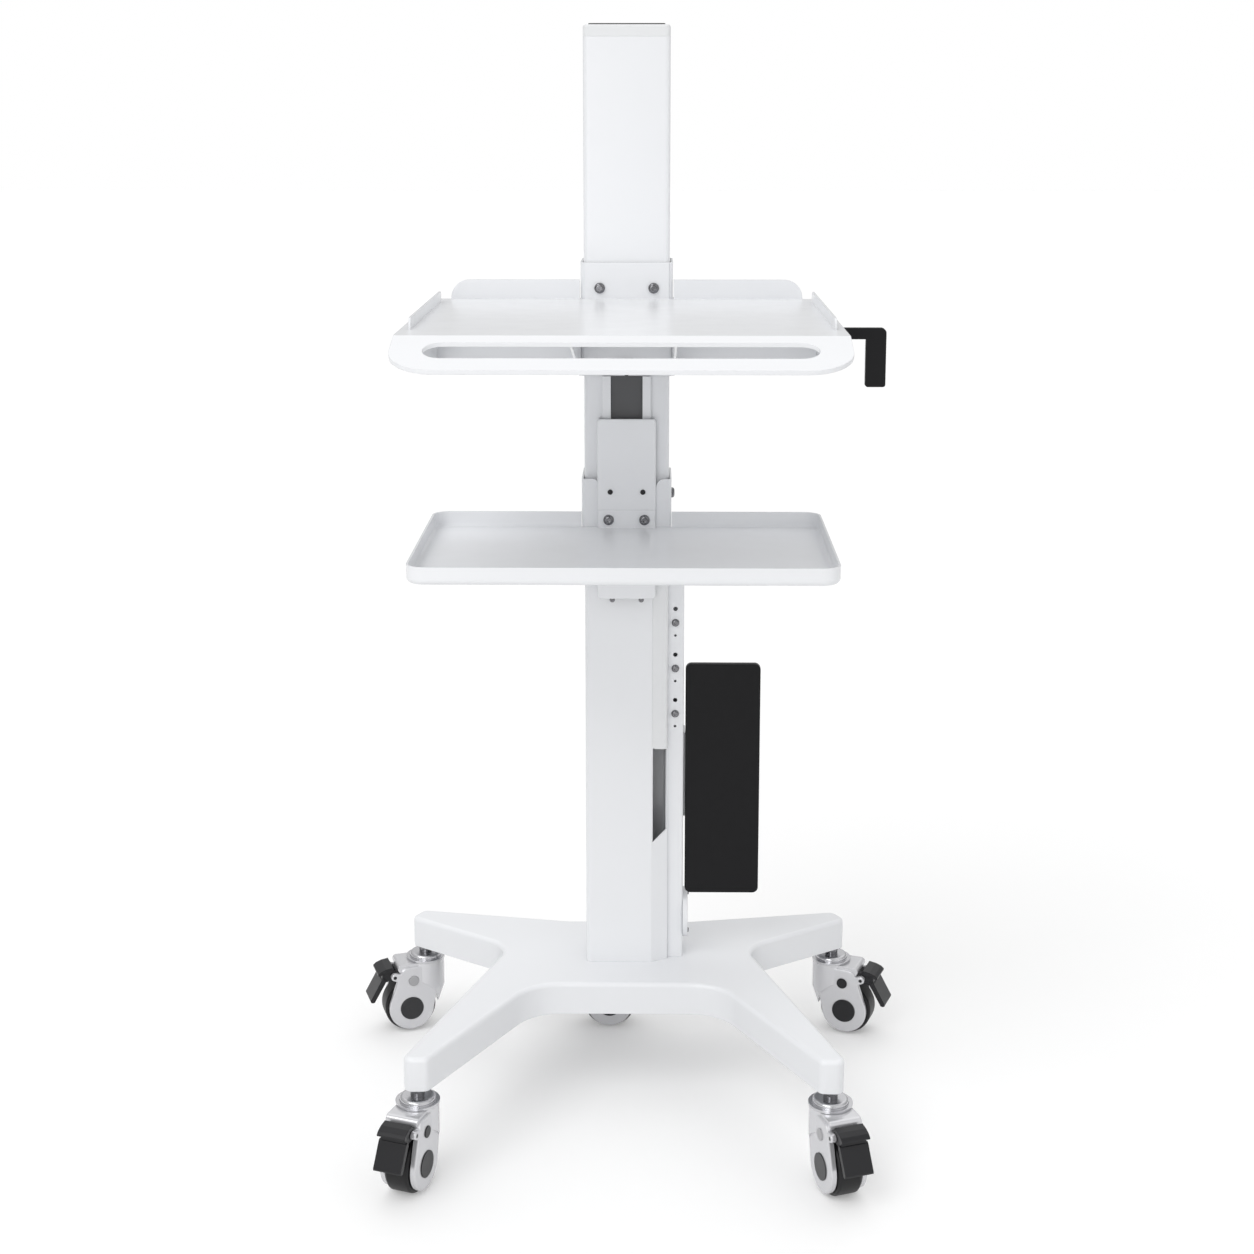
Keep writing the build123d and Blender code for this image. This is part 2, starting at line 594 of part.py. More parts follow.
def upper_liner():
    """Plastic sleeve between the upper collar and the column."""
    gap = SLIDE
    low = RAIL_TOP + 2
    high = UPPER_COLLAR_TOP - 2
    body = ring(HALF + gap, -gap, COLUMN_DEPTH + gap, LINER - gap, 2.0, low, high)
    for x in (-UPPER_SCREW_X, UPPER_SCREW_X):
        body -= rod(LARGE_SCREW / 2 + 1, (x, -LINER - 1, UPPER_SCREW_HEIGHT), (x, 0, UPPER_SCREW_HEIGHT))
    body -= rod(SMALL_SCREW, (0, -LINER - 1, KNOB_HEIGHT), (0, 0, KNOB_HEIGHT))
    return body


def upper_screws():
    """Two large button-head screws that join the shelf's tab to the collar."""
    seat = -LINER - 2 * SHEET
    places = [(x, seat, UPPER_SCREW_HEIGHT) for x in (-UPPER_SCREW_X, UPPER_SCREW_X)]
    return together([button_screw(place, (0, -1, 0), LARGE_SCREW, 2 * SHEET + 0.5) for place in places])


def lock_knob():
    """Black clamping knob under the shelf with its stud."""
    front = -LINER - SHEET
    knob = rod(KNOB_RADIUS, (0, front - KNOB_LENGTH, KNOB_HEIGHT), (0, front, KNOB_HEIGHT))
    knob = fillet(knob.edges().group_by(Axis.Y)[0], 2.0)
    for step in range(6):
        angle = math.radians(60 * step)
        x = (KNOB_RADIUS + 2) * math.cos(angle)
        z = KNOB_HEIGHT + (KNOB_RADIUS + 2) * math.sin(angle)
        knob -= rod(3.2, (x, front - KNOB_LENGTH - 1, z), (x, front - 5, z))
    stud = rod(SMALL_SCREW, (0, front - 1, KNOB_HEIGHT), (0, -RUNNING, KNOB_HEIGHT))
    return knob + stud


def hook_screw_places():
    """Plan positions of the two screws of the side hook."""
    first = SHELF_WIDTH / 2 - HOOK_FOOT + 8
    second = SHELF_WIDTH / 2 - 12
    return [(first, -HOOK_SETBACK + 10), (second, -HOOK_SETBACK + 10)]


def side_hook():
    """Black L-shaped cable hook with a foot under the shelf."""
    top = SHELF_TOP - SHELF_SHEET
    left = SHELF_WIDTH / 2 - HOOK_FOOT
    points = Polyline(
        (left, top), (HOOK_REACH, top), (HOOK_REACH, top - HOOK_DROP), (HOOK_REACH - HOOK_LEG, top - HOOK_DROP),
        (HOOK_REACH - HOOK_LEG, top - HOOK_BAR), (left, top - HOOK_BAR), close=True,
    )
    profile = make_face(points)
    outer = profile.vertices().sort_by_distance((HOOK_REACH, top, 0))[0]
    profile = fillet(outer, 6.0)
    for x in (HOOK_REACH, HOOK_REACH - HOOK_LEG):
        low = profile.vertices().sort_by_distance((x, top - HOOK_DROP, 0))[0]
        profile = fillet(low, 3.0)
    middle = -HOOK_SETBACK
    body = front_slab(profile, middle - HOOK_THICKNESS / 2, middle + HOOK_THICKNESS / 2)
    body += block(left, SHELF_WIDTH / 2 - 2, middle, middle + HOOK_FOOT_WIDTH - 10, top - 4, top)
    for x, y in hook_screw_places():
        body -= rod(HOOK_SCREW / 2 + PASSING, (x, y, top - 5), (x, y, top + 1))
    return body


def hook_screws():
    """Two screws that hold the hook under the shelf."""
    seat = SHELF_TOP - SHELF_SHEET - 4
    return together([button_screw((x, y, seat), (0, 0, -1), HOOK_SCREW, 7.0) for x, y in hook_screw_places()])


# Side duct, round flange and panel
def duct_heights():
    """Heights of the duct's holes, screws and small holes."""
    holes = [DUCT_FIRST_HOLE + DUCT_PITCH * step for step in range(DUCT_HOLES)]
    screws = [height - 0.3 * DUCT_PITCH for height in holes]
    small = [height - 0.58 * DUCT_PITCH for height in holes]
    return holes, screws, small


def flange_screw_places():
    """Y and Z of the two screws of the round flange."""
    r = FLANGE_SCREW_RADIUS
    return [(DUCT_MIDDLE + a * r, FLANGE_HEIGHT + b * r) for a, b in ((0, -1), (0, 1))]


def bracket_side_places():
    """Y and Z of the two screws that hold the panel bracket on the duct."""
    return [(DUCT_MIDDLE + 4, BRACKET_BOTTOM + 20), (DUCT_MIDDLE + 4, BRACKET_TOP - 20)]


def panel_screw_places():
    """X and Z of the four screws in the back of the panel."""
    columns = (PANEL_LEFT + 22, BRACKET_RIGHT - 12)
    return [(x, z) for x in columns for z in (BRACKET_BOTTOM + 16, BRACKET_TOP - 16)]


def side_duct():
    """Cable duct on the column's right side with a row of fixing holes."""
    front = DUCT_SETBACK
    back = DUCT_SETBACK + DUCT_DEPTH
    body = block(HALF, DUCT_RIGHT, front, back, BASE_TOP, DUCT_TOP)
    body = fillet(body.edges().filter_by(Axis.Z).group_by(Axis.X)[-1], 3.0)
    body -= block(HALF - 1, DUCT_RIGHT - DUCT_WALL, front + DUCT_WALL, back - DUCT_WALL, BASE_TOP - 1, DUCT_TOP + 1)
    x = HALF + DUCT_WIDTH / 2 - 1
    holes, screws, small = duct_heights()
    for height in screws:
        body += rod(DUCT_SCREW - 1, (x, front + DUCT_WALL - 0.5, height), (x, front + DUCT_WALL + 4, height))
    for heights, radius in ((holes, DUCT_HOLE / 2), (screws, DUCT_SCREW / 2), (small, DUCT_SMALL_HOLE / 2)):
        for height in heights:
            body -= rod(radius, (x, front - 1, height), (x, front + DUCT_WALL + 5, height))
    inner = DUCT_RIGHT - DUCT_WALL - 1
    body -= rod(FLANGE_BORE, (inner, DUCT_MIDDLE, FLANGE_HEIGHT), (DUCT_RIGHT + 1, DUCT_MIDDLE, FLANGE_HEIGHT))
    for y, z in flange_screw_places() + bracket_side_places():
        body -= rod(SMALL_SCREW / 2, (inner, y, z), (DUCT_RIGHT + 1, y, z))
    return body


def duct_screws():
    """Three button-head screws in the duct's front face."""
    x = HALF + DUCT_WIDTH / 2 - 1
    holes, screws, small = duct_heights()
    return together([button_screw((x, DUCT_SETBACK, z), (0, -1, 0), DUCT_SCREW, 7.0) for z in screws])


def round_flange():
    """Round cable-entry flange on the side of the duct."""
    start = (DUCT_RIGHT, DUCT_MIDDLE, FLANGE_HEIGHT)
    end = (DUCT_RIGHT + FLANGE_THICKNESS, DUCT_MIDDLE, FLANGE_HEIGHT)
    body = rod(FLANGE_RADIUS, start, end)
    body = fillet(body.edges().group_by(Axis.X)[-1], 2.0)
    body -= rod(FLANGE_BORE, (DUCT_RIGHT - 1, start[1], start[2]), (end[0] + 1, end[1], end[2]))
    for y, z in flange_screw_places():
        body -= rod(SMALL_SCREW / 2 + PASSING, (DUCT_RIGHT - 1, y, z), (end[0] + 1, y, z))
    return body


def panel_bracket():
    """Angle bracket that carries the panel beside the duct."""
    back = PANEL_SETBACK + PANEL_THICKNESS
    body = block(DUCT_RIGHT, BRACKET_RIGHT, back, back + SHEET, BRACKET_BOTTOM, BRACKET_TOP)
    body += block(DUCT_RIGHT, DUCT_RIGHT + SHEET, back, back + 34, BRACKET_BOTTOM, BRACKET_TOP)
    for y, z in bracket_side_places():
        body -= rod(SMALL_SCREW / 2 + PASSING, (DUCT_RIGHT - 1, y, z), (DUCT_RIGHT + SHEET + 1, y, z))
    for x, z in panel_screw_places():
        body -= rod(SMALL_SCREW / 2 + PASSING, (x, back - 1, z), (x, back + SHEET + 1, z))
    return body


def side_panel():
    """Flat dark panel beside the column."""
    outline = RectangleRounded(PANEL_WIDTH, PANEL_HEIGHT, PANEL_CORNER)
    outline = Pos(PANEL_LEFT + PANEL_WIDTH / 2, PANEL_BOTTOM + PANEL_HEIGHT / 2) * outline
    back = PANEL_SETBACK + PANEL_THICKNESS
    body = front_slab(outline, PANEL_SETBACK, back)
    body = fillet(body.edges().group_by(Axis.Y)[0], 2.0)
    for x, z in panel_screw_places():
        body -= rod(SMALL_SCREW / 2, (x, back - 6, z), (x, back + 1, z))
    return body


def small_screws():
    """Small button-head screws of the flange, the bracket and the panel, and the two below the rail."""
    screws = []
    for y, z in flange_screw_places():
        screws.append(button_screw((DUCT_RIGHT + FLANGE_THICKNESS, y, z), (1, 0, 0), SMALL_SCREW, 9.0))
    for y, z in bracket_side_places():
        screws.append(button_screw((DUCT_RIGHT + SHEET, y, z), (1, 0, 0), SMALL_SCREW, 9.0))
    for x, z in panel_screw_places():
        seat = (x, PANEL_SETBACK + PANEL_THICKNESS + SHEET, z)
        screws.append(button_screw(seat, (0, 1, 0), SMALL_SCREW, 8.0))
    for x in (-STOP_SCREW_X, STOP_SCREW_X):
        screws.append(button_screw((x, 0, STOP_SCREW_HEIGHT), (0, -1, 0), SMALL_SCREW, 6.0))
    return together(screws)


# Casters, drawn with the stem on the Z axis and the wheel trailing towards -Y
PLATE_OUT = FORK_GAP / 2 + FORK_PLATE
WHEEL_CENTRE = (-TRAIL, WHEEL_RADIUS)


def from_hub(back, up):
    """Y and Z of a point given from the wheel's centre: back on the trailing side, and up."""
    return (-TRAIL - back, WHEEL_RADIUS + up)


PIN_CAP_AT = from_hub(-3.4, 42.0)
PEDAL_AT = from_hub(24.0, 50.0)


def cover_outline():
    """Side outline of the caster's two covers, with the ear that holds the pedal."""
    circles = Pos(*WHEEL_CENTRE) * Circle(COVER_RADIUS)
    circles += Pos(*from_hub(5.0, 50.5)) * Circle(12)
    circles += Pos(4, FORK_TOP - 13) * Circle(9)
    circles += Pos(4, FORK_TOP - 32) * Circle(9)
    ear = Pos(*PEDAL_AT) * Circle(5.5)
    ear += Pos(*from_hub(11.0, 46.0)) * Circle(7)
    return make_hull(circles.edges()) + make_hull(ear.edges())


def roof_outline():
    """Side outline of the rounded roof that joins the covers above the wheel."""
    top = Pos(-TRAIL - 13.0, FORK_TOP - 6.6) * Circle(6)
    top += Pos(2, FORK_TOP - 9.6) * Circle(9)
    top += Pos(2, FORK_TOP - 30) * Circle(9)
    top += Pos(-TRAIL, FORK_TOP - 25) * Circle(5)
    roof = make_hull(top.edges())
    pocket = Pos(-TRAIL - 9, FORK_TOP - 12.6) * Rectangle(60, 60, align=(Align.MAX, Align.MAX))
    return roof - pocket - Pos(*WHEEL_CENTRE) * Circle(WHEEL_RADIUS + 3.5)


def caster_fork():
    """Moulded fork: two side covers, a rounded roof and a round turret."""
    cover = side_slab(cover_outline(), FORK_GAP / 2, PLATE_OUT)
    cover = fillet(cover.edges().group_by(Axis.X)[-1], 2.0)
    half_roof = PLATE_OUT - 3.0
    roof = side_slab(roof_outline(), -half_roof, half_roof)
    taper = Cone(TURRET_RADIUS - 8, TURRET_RADIUS, TURRET_TAPER, align=(Align.CENTER, Align.CENTER, Align.MAX))
    turret = rod(TURRET_RADIUS, (0, 0, FORK_TOP - TURRET_HEIGHT), (0, 0, FORK_TOP))
    turret += Pos(0, 0, FORK_TOP - TURRET_HEIGHT) * taper
    turret -= side_slab(Pos(*WHEEL_CENTRE) * Circle(WHEEL_RADIUS + 3.5), -TURRET_RADIUS, TURRET_RADIUS)
    body = mirrored(cover) + roof + turret
    body -= rod(STEM / 2 + RUNNING, (0, 0, 60), (0, 0, FORK_TOP + 1))
    body -= rod(STEM / 2 + 4.2, (0, 0, 40), (0, 0, FORK_TOP - 28))
    body -= rod(AXLE / 2, (-PLATE_OUT - 1, *WHEEL_CENTRE), (PLATE_OUT + 1, *WHEEL_CENTRE))
    body -= rod(PEDAL_PIN / 2 + RUNNING, (-PLATE_OUT - 1, *PEDAL_AT), (PLATE_OUT + 1, *PEDAL_AT))
    for side in (-1, 1):
        face = side * PLATE_OUT
        body -= rod(PIN_CAP_RADIUS, (face - side * 1.0, *PIN_CAP_AT), (face + side, *PIN_CAP_AT))
    return body


def caster_cap():
    """Chrome bearing cap on top of the fork."""
    top = FORK_TOP + CAP_HEIGHT
    body = rod(CAP_RADIUS, (0, 0, FORK_TOP), (0, 0, FORK_TOP + 3))
    body += rod(CAP_RADIUS - 5, (0, 0, FORK_TOP), (0, 0, top))
    body = fillet(body.edges().filter_by(GeomType.CIRCLE).sort_by(Axis.Z)[-1], 4.0)
    return body - rod(STEM / 2 + RUNNING, (0, 0, FORK_TOP - 1), (0, 0, top + 1))


def caster_axle():
    """Axle pin with the round hub caps and the small pin caps."""
    body = rod(AXLE / 2, (-PLATE_OUT, -TRAIL, WHEEL_RADIUS), (PLATE_OUT, -TRAIL, WHEEL_RADIUS))
    trims = []
    for side in (-1, 1):
        face = side * PLATE_OUT
        out = face + side * TRIM_PROUD
        body += rod(HUB_CAP_RADIUS, (face, -TRAIL, WHEEL_RADIUS), (out, -TRAIL, WHEEL_RADIUS))
        trims.append(rod(PIN_CAP_RADIUS, (face - side * 1.0, *PIN_CAP_AT), (out, *PIN_CAP_AT)))
    return together([body] + trims)


def caster_core():
    """Nylon wheel centre that turns on the axle."""
    half = TYRE_WIDTH / 2
    centre = (-TRAIL, WHEEL_RADIUS)
    body = rod(WHEEL_RADIUS - TYRE_THICKNESS, (-half, *centre), (half, *centre))
    for side in (-1, 1):
        hollow = Circle(WHEEL_RADIUS - TYRE_THICKNESS - 3) - Circle(AXLE / 2 + 4)
        hollow = Pos(*centre) * hollow
        body -= side_slab(hollow, side * 3.0, side * (half + 1))
    return body - rod(AXLE / 2 + RUNNING, (-half - 1, *centre), (half + 1, *centre))


def caster_tyre():
    """Round-shouldered tyre on the wheel centre."""
    half = TYRE_WIDTH / 2
    centre = (-TRAIL, WHEEL_RADIUS)
    body = rod(WHEEL_RADIUS, (-half, *centre), (half, *centre))
    body = fillet(body.edges(), 4.0)
    return body - rod(WHEEL_RADIUS - TYRE_THICKNESS, (-half - 1, *centre), (half + 1, *centre))


def hub_face(points):
    """Flat face through points given from the wheel's centre."""
    return make_face(Polyline(*[from_hub(back, up) for back, up in points], close=True))


def brake_pedal():
    """Two-lobed brake pedal on a cross pin behind the fork."""
    wide = PEDAL_WIDTH / 2
    narrow = FORK_GAP / 2 - 0.6
    upper = hub_face(
        [(26, 64), (36, 62.5), (44, 59.5), (48, 56), (48, 54), (45.5, 53), (39, 55), (33, 58), (27, 58.5)])
    lower = hub_face([(37, 46.5), (40, 48), (43, 46.5), (60, 16.5), (59.5, 14), (57, 13), (54, 13.5), (37, 42.5)])
    neck = hub_face([(19.5, 54.5), (27, 63), (41, 57), (42, 46), (38, 41.5), (32, 43), (24.5, 43.5), (19, 47)])
    upper = side_slab(upper, -wide, wide)
    lower = side_slab(lower, -wide, wide)
    body = side_slab(neck, -narrow, narrow) + upper + lower
    return body + rod(PEDAL_PIN / 2, (-PLATE_OUT, *PEDAL_AT), (PLATE_OUT, *PEDAL_AT))


def caster_stem():
    """Threaded stem with a hexagon, a shoulder and a riveted foot."""
    top = BASE_BOTTOM + STEM_REACH - 1
    shoulder = FORK_TOP + CAP_HEIGHT + RUNNING
    body = rod(STEM / 2, (0, 0, FORK_TOP - 33), (0, 0, top))
    body += rod(9.0, (0, 0, shoulder), (0, 0, shoulder + 5))
    body += slab(RegularPolygon(8.5, 6, major_radius=False), shoulder + 4, BASE_BOTTOM)
    body += rod(STEM / 2 + 4, (0, 0, FORK_TOP - 33), (0, 0, FORK_TOP - 28 - RUNNING))
    return body


def placed(shape, place, trail):
    """Caster piece moved to its leg and turned to its trail direction."""
    return Pos(place[0], place[1], 0) * Rot(0, 0, trail - 270) * shape


CASTER_PIECES = {
    "fork": caster_fork,
    "bearing_cap": caster_cap,
    "axle_caps": caster_axle,
    "wheel_core": caster_core,
    "tyre": caster_tyre,
    "brake_pedal": brake_pedal,
}


def build_all():
    """Every named part in model position."""
    parts = {
        "base_frame": base_frame(),
        "foot_bolts": foot_bolts(),
        "column": column(),
        "corner_strip": corner_strip(),
        "top_cap": top_cap(),
        "top_pad": top_pad(),
        "front_rail": front_rail(),
        "rail_insert": rail_insert(),
        "side_duct": side_duct(),
        "duct_screws": duct_screws(),
        "round_flange": round_flange(),
        "panel_bracket": panel_bracket(),
        "side_panel": side_panel(),
        "small_screws": small_screws(),
        "carriage": carriage(),
        "carriage_glides": carriage_glides(),
        "carriage_screws": carriage_screws(),
        "tray_collar": tray_collar(),
        "clamp_screw": clamp_screw(),
        "lower_tray": lower_tray(),
        "tray_screws": tray_screws(),
        "upper_collar": upper_collar(),
        "upper_liner": upper_liner(),
        "upper_shelf": upper_shelf(),
        "upper_screws": upper_screws(),
        "lock_knob": lock_knob(),
        "side_hook": side_hook(),
        "hook_screws": hook_screws(),
    }
    stems = [placed(caster_stem(), place, trail) for name, place, trail in stem_places()]
    parts["caster_stems"] = together(stems)
    for piece, make in CASTER_PIECES.items():
        shape = make()
        for name, place, trail in stem_places():
            parts[f"{name}_{piece}"] = placed(shape, place, trail)
    return parts


def outline_shift(parts):
    """Move that brings the middle of the assembly's outline to x = y = 0."""
    boxes = [shape.bounding_box() for shape in parts.values()]
    x = (min(box.min.X for box in boxes) + max(box.max.X for box in boxes)) / 2
    y = (min(box.min.Y for box in boxes) + max(box.max.Y for box in boxes)) / 2
    z = min(box.min.Z for box in boxes)
    return (-x, -y, -z)


PARTS = build_all()
SHIFT = outline_shift(PARTS)
os.makedirs("parts", exist_ok=True)
for part_name, part_shape in PARTS.items():
    export_step(Pos(*SHIFT) * part_shape, f"parts/{part_name}.step")
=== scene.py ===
import json
import math

import bpy
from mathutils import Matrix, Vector

# Looks of the adjustable equipment trolley, in metres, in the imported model's frame.

# Camera, worked out from the edges of the shelf, the tray and the base
PICTURE_SIDE = 1254.0
FOCAL_PIXELS = 1996.0
HORIZON_SHIFT = -132.0
CAMERA_PLACE = (0.0344, -2.4379, 1.3375)
PITCH_DOWN = 11.04
YAW_LEFT = 0.746
SENSOR = 36.0
VIEW_DEPTH = 100.0

# Lamps and background; the sky's light grows from WORLD_LOW to WORLD_HIGH between two heights of its sphere
WORLD_LOW = 0.46
WORLD_HIGH = 0.78
WORLD_HEIGHTS = (0.0, 0.8)
FLOOR_GLOW = 0.23
FLOOR_SIZE = 60.0
FLOOR_GREYS = ((0.76, 0.76, 0.76), (0.78, 0.78, 0.78))
FLOOR_CYCLES = 0.7
# name, strength, turn about x, y and z in degrees, width of the sun in degrees
LAMPS = [
    ("key_light", 0.80, (41.0, 0.0, -38.0), 35.0),
    ("fill_light", 0.25, (70.0, 0.0, 50.0), 60.0),
    ("rim_light", 0.35, (35.0, 0.0, 170.0), 60.0),
]
PANEL_POWER = 8.0
PANEL_SIDE = 0.9
PANEL_PLACE = (-0.5, -2.2, 1.15)
PANEL_AIM = (0.0, 0.14, 0.95)

# The photograph shows grey pin caps on two of the casters, above this height
GREY_CAP_CASTERS = ("front_right", "rear_left")
CAP_SPLIT = 0.063
CAP_EDGE = 0.001
CAP_GLOSS = (0.30, 0.32)

# Fine changes of the surfaces: cycles per metre of colour and gloss, the gloss's change, and the relief
COLOUR_CYCLES = 6.0
GLOSS_CYCLES = 30.0
GLOSS_CHANGE = 0.012
RELIEF_STRENGTH = 0.12
EDGE_SAMPLES = 8

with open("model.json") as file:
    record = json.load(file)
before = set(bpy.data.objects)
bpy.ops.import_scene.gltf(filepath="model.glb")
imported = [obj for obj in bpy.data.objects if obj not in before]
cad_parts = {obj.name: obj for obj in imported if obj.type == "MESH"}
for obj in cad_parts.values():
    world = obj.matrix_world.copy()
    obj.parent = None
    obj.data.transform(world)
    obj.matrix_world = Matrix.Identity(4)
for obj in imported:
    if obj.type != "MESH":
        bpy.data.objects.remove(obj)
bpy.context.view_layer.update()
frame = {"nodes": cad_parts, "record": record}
nodes = frame["nodes"]


def new_material(name):
    """An empty node material with its Principled shader and output."""
    material = bpy.data.materials.new(name)
    material.use_nodes = True
    tree = material.node_tree
    tree.nodes.clear()
    output = tree.nodes.new("ShaderNodeOutputMaterial")
    shader = tree.nodes.new("ShaderNodeBsdfPrincipled")
    tree.links.new(shader.outputs["BSDF"], output.inputs["Surface"])
    return material, tree, shader


def noise(tree, scale, detail=3.0):
    """Noise in the object's own coordinates; scale is in cycles per metre."""
    place = tree.nodes.new("ShaderNodeTexCoord")
    texture = tree.nodes.new("ShaderNodeTexNoise")
    texture.inputs["Scale"].default_value = scale
    texture.inputs["Detail"].default_value = detail
    tree.links.new(place.outputs["Object"], texture.inputs["Vector"])
    return texture.outputs["Fac"]


def spread(tree, source, low, high, start=0.3, end=0.7):
    """The source remapped from start..end to low..high."""
    remap = tree.nodes.new("ShaderNodeMapRange")
    remap.inputs["From Min"].default_value = start
    remap.inputs["From Max"].default_value = end
    remap.inputs["To Min"].default_value = low
    remap.inputs["To Max"].default_value = high
    tree.links.new(source, remap.inputs["Value"])
    return remap.outputs["Result"]


def two_colours(tree, factor, first, second):
    """Colour that runs between two colours."""
    ramp = tree.nodes.new("ShaderNodeValToRGB")
    ramp.color_ramp.elements[0].color = (*first, 1.0)
    ramp.color_ramp.elements[1].color = (*second, 1.0)
    tree.links.new(factor, ramp.inputs["Fac"])
    return ramp.outputs["Color"]


def bump(tree, shader, peel, edge):
    """Fine relief, on edges rounded by a small radius; peel gives its cycles per metre and its depth."""
    cycles, distance = peel
    height = noise(tree, cycles, 1.0)
    relief = tree.nodes.new("ShaderNodeBump")
    relief.inputs["Strength"].default_value = RELIEF_STRENGTH
    relief.inputs["Distance"].default_value = distance
    tree.links.new(height, relief.inputs["Height"])
    if edge:
        rounded = tree.nodes.new("ShaderNodeBevel")
        rounded.samples = EDGE_SAMPLES
        rounded.inputs["Radius"].default_value = edge
        tree.links.new(rounded.outputs["Normal"], relief.inputs["Normal"])
    tree.links.new(relief.outputs["Normal"], shader.inputs["Normal"])


def surface(name, colour, gloss, peel, edge=0.0, metallic=0.0, vary=0.02, shine=0.5):
    """Material with slight changes of colour and gloss, fine relief and softened edges."""
    material, tree, shader = new_material(name)
    second = tuple(part * (1.0 - vary) for part in colour)
    broad = spread(tree, noise(tree, COLOUR_CYCLES), 0.0, 1.0)
    tree.links.new(two_colours(tree, broad, colour, second), shader.inputs["Base Color"])
    glossy = spread(tree, noise(tree, GLOSS_CYCLES), gloss - GLOSS_CHANGE, gloss + GLOSS_CHANGE)
    tree.links.new(glossy, shader.inputs["Roughness"])
    shader.inputs["Metallic"].default_value = metallic
    shader.inputs["Specular IOR Level"].default_value = shine
    bump(tree, shader, peel, edge)
    return material


def two_tone_caps(hub_colour, pin_colour, peel, edge):
    """Moulded caps whose colour changes between the hub caps and the pin caps above them."""
    material, tree, shader = new_material("two_tone_caps")
    place = tree.nodes.new("ShaderNodeTexCoord")
    parts = tree.nodes.new("ShaderNodeSeparateXYZ")
    tree.links.new(place.outputs["Object"], parts.inputs["Vector"])
    step = spread(tree, parts.outputs["Z"], 0.0, 1.0, CAP_SPLIT, CAP_SPLIT + CAP_EDGE)
    tree.links.new(two_colours(tree, step, hub_colour, pin_colour), shader.inputs["Base Color"])
    tree.links.new(spread(tree, noise(tree, GLOSS_CYCLES), *CAP_GLOSS), shader.inputs["Roughness"])
    bump(tree, shader, peel, edge)
    return material


def make_materials():
    """Every material by its name in the record, and the two-tone caps."""
    # a gloss of 0.26 to 0.29 looks mottled, because the picture's noise filter switches there
    paint = (450.0, 0.00003)
    moulding = (600.0, 0.00003)
    turned = (1500.0, 0.00001)
    return {
        "base_casting": surface("base_casting", (0.83, 0.84, 0.86), 0.25, paint, 0.0009, vary=0.01),
        "white_steel": surface("white_steel", (0.84, 0.85, 0.87), 0.24, paint, 0.0009, vary=0.01),
        "black_steel": surface("black_steel", (0.011, 0.011, 0.012), 0.42, paint, 0.001, shine=0.14),
        "steel_screw": surface("steel_screw", (0.20, 0.20, 0.21), 0.1, turned, 0.0003, metallic=1.0),
        "dark_screw": surface("dark_screw", (0.03, 0.03, 0.032), 0.34, turned, 0.0003, metallic=0.6),
        "white_plastic": surface("white_plastic", (0.79, 0.80, 0.81), 0.36, moulding, 0.0008, vary=0.01),
        "two_tone_caps": two_tone_caps((0.016, 0.016, 0.018), (0.40, 0.40, 0.41), moulding, 0.0012),
        "dark_plastic": surface("dark_plastic", (0.011, 0.011, 0.013), 0.31, moulding, 0.0012, shine=0.36),
        "grey_plastic": surface("grey_plastic", (0.68, 0.68, 0.70), 0.2, moulding, 0.0012, metallic=0.5),
        "nylon": surface("nylon", (0.65, 0.65, 0.63), 0.45, moulding, 0.0006),
        "black_rubber": surface("black_rubber", (0.02, 0.02, 0.02), 0.68, moulding),
        "black_tyre": surface("black_tyre", (0.012, 0.012, 0.013), 0.42, moulding, shine=0.3),
        "bright_cap": surface("bright_cap", (0.60, 0.60, 0.62), 0.24, turned, 0.0008, metallic=1.0),
        "rail_lining": surface("rail_lining", (0.085, 0.086, 0.09), 0.5, moulding),
    }


def dress_nodes(materials):
    """Gives each CAD node the material of its record slot."""
    slots = {row["node"]: row["material_slot"] for row in frame["record"]["subparts"]}
    for caster in GREY_CAP_CASTERS:
        slots[caster + "_axle_caps"] = "two_tone_caps"
    for name, node in nodes.items():
        node.data.materials.clear()
        node.data.materials.append(materials[slots[name]])


def white_to_camera(tree, shader_output, strength):
    """Adds a plain glow that only the camera, mirrors and glass see."""
    path = tree.nodes.new("ShaderNodeLightPath")
    seen = path.outputs["Is Camera Ray"]
    for kind in ("Is Glossy Ray", "Is Transmission Ray"):
        either = tree.nodes.new("ShaderNodeMath")
        either.operation = "MAXIMUM"
        tree.links.new(seen, either.inputs[0])
        tree.links.new(path.outputs[kind], either.inputs[1])
        seen = either.outputs["Value"]
    level = tree.nodes.new("ShaderNodeMath")
    level.operation = "MULTIPLY"
    level.inputs[1].default_value = strength
    tree.links.new(seen, level.inputs[0])
    glow = tree.nodes.new("ShaderNodeEmission")
    tree.links.new(level.outputs["Value"], glow.inputs["Strength"])
    both = tree.nodes.new("ShaderNodeAddShader")
    tree.links.new(shader_output, both.inputs[0])
    tree.links.new(glow.outputs["Emission"], both.inputs[1])
    return both.outputs["Shader"]


def make_floor():
    """Pale floor that keeps the soft shadows."""
    half = FLOOR_SIZE / 2
    mesh = bpy.data.meshes.new("floor")
    corners = [(-half, -half, 0), (half, -half, 0), (half, half, 0), (-half, half, 0)]
    mesh.from_pydata(corners, [], [(0, 1, 2, 3)])
    floor = bpy.data.objects.new("floor", mesh)
    bpy.context.scene.collection.objects.link(floor)
    material = bpy.data.materials.new("floor")
    material.use_nodes = True
    tree = material.node_tree
    tree.nodes.clear()
    output = tree.nodes.new("ShaderNodeOutputMaterial")
    matt = tree.nodes.new("ShaderNodeBsdfDiffuse")
    tree.links.new(two_colours(tree, noise(tree, FLOOR_CYCLES), *FLOOR_GREYS), matt.inputs["Color"])
    tree.links.new(white_to_camera(tree, matt.outputs["BSDF"], FLOOR_GLOW), output.inputs["Surface"])
    mesh.materials.append(material)


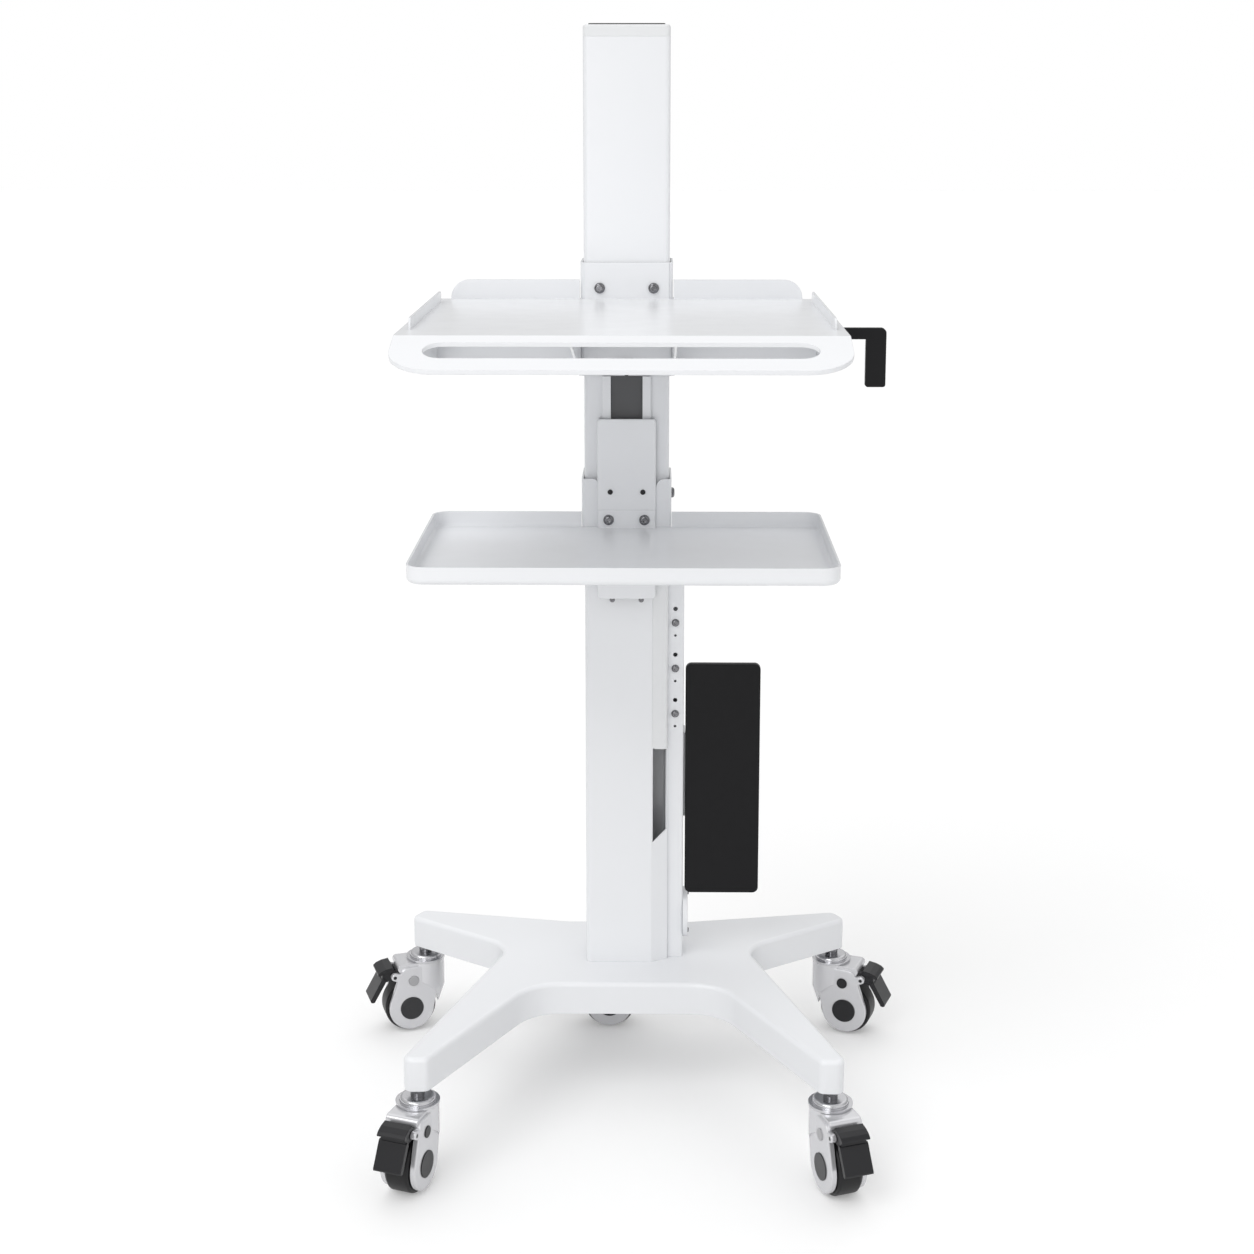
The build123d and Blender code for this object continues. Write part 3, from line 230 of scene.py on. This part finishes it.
def make_world():
    """Even grey light on the object, white to the camera."""
    world = bpy.data.worlds.new("studio")
    bpy.context.scene.world = world
    world.use_nodes = True
    tree = world.node_tree
    tree.nodes.clear()
    output = tree.nodes.new("ShaderNodeOutputWorld")
    light = tree.nodes.new("ShaderNodeBackground")
    light.inputs["Color"].default_value = (1.0, 1.0, 1.0, 1.0)
    place = tree.nodes.new("ShaderNodeTexCoord")
    parts = tree.nodes.new("ShaderNodeSeparateXYZ")
    tree.links.new(place.outputs["Generated"], parts.inputs["Vector"])
    strength = spread(tree, parts.outputs["Z"], WORLD_LOW, WORLD_HIGH, *WORLD_HEIGHTS)
    tree.links.new(strength, light.inputs["Strength"])
    seen = tree.nodes.new("ShaderNodeBackground")
    seen.inputs["Color"].default_value = (1.0, 1.0, 1.0, 1.0)
    seen.inputs["Strength"].default_value = 1.0
    path = tree.nodes.new("ShaderNodeLightPath")
    mix = tree.nodes.new("ShaderNodeMixShader")
    tree.links.new(path.outputs["Is Camera Ray"], mix.inputs["Fac"])
    tree.links.new(light.outputs["Background"], mix.inputs[1])
    tree.links.new(seen.outputs["Background"], mix.inputs[2])
    tree.links.new(mix.outputs["Shader"], output.inputs["Surface"])


def make_lamps():
    """Broad suns (key, fill, rim) and a soft panel that brightens the middle of the front."""
    for name, strength, angles, width in LAMPS:
        lamp = bpy.data.lights.new(name, "SUN")
        lamp.energy = strength
        lamp.angle = math.radians(width)
        holder = bpy.data.objects.new(name, lamp)
        holder.rotation_euler = [math.radians(angle) for angle in angles]
        bpy.context.scene.collection.objects.link(holder)
    panel = bpy.data.lights.new("panel_light", "AREA")
    panel.energy = PANEL_POWER
    panel.size = PANEL_SIDE
    holder = bpy.data.objects.new("panel_light", panel)
    holder.location = PANEL_PLACE
    aim = Vector(PANEL_AIM) - holder.location
    holder.rotation_euler = aim.to_track_quat("-Z", "Y").to_euler()
    bpy.context.scene.collection.objects.link(holder)


def make_camera():
    """Camera at the photograph's place and angle."""
    data = bpy.data.cameras.new("camera")
    data.sensor_width = SENSOR
    data.lens = SENSOR * FOCAL_PIXELS / PICTURE_SIDE
    data.shift_y = HORIZON_SHIFT / PICTURE_SIDE
    data.clip_end = VIEW_DEPTH
    camera = bpy.data.objects.new("camera", data)
    camera.location = CAMERA_PLACE
    camera.rotation_euler = (math.radians(90.0 - PITCH_DOWN), 0.0, math.radians(YAW_LEFT))
    bpy.context.scene.collection.objects.link(camera)
    bpy.context.scene.camera = camera


bpy.context.scene.view_settings.view_transform = "Standard"
make_camera()
dress_nodes(make_materials())
make_floor()
make_world()
make_lamps()
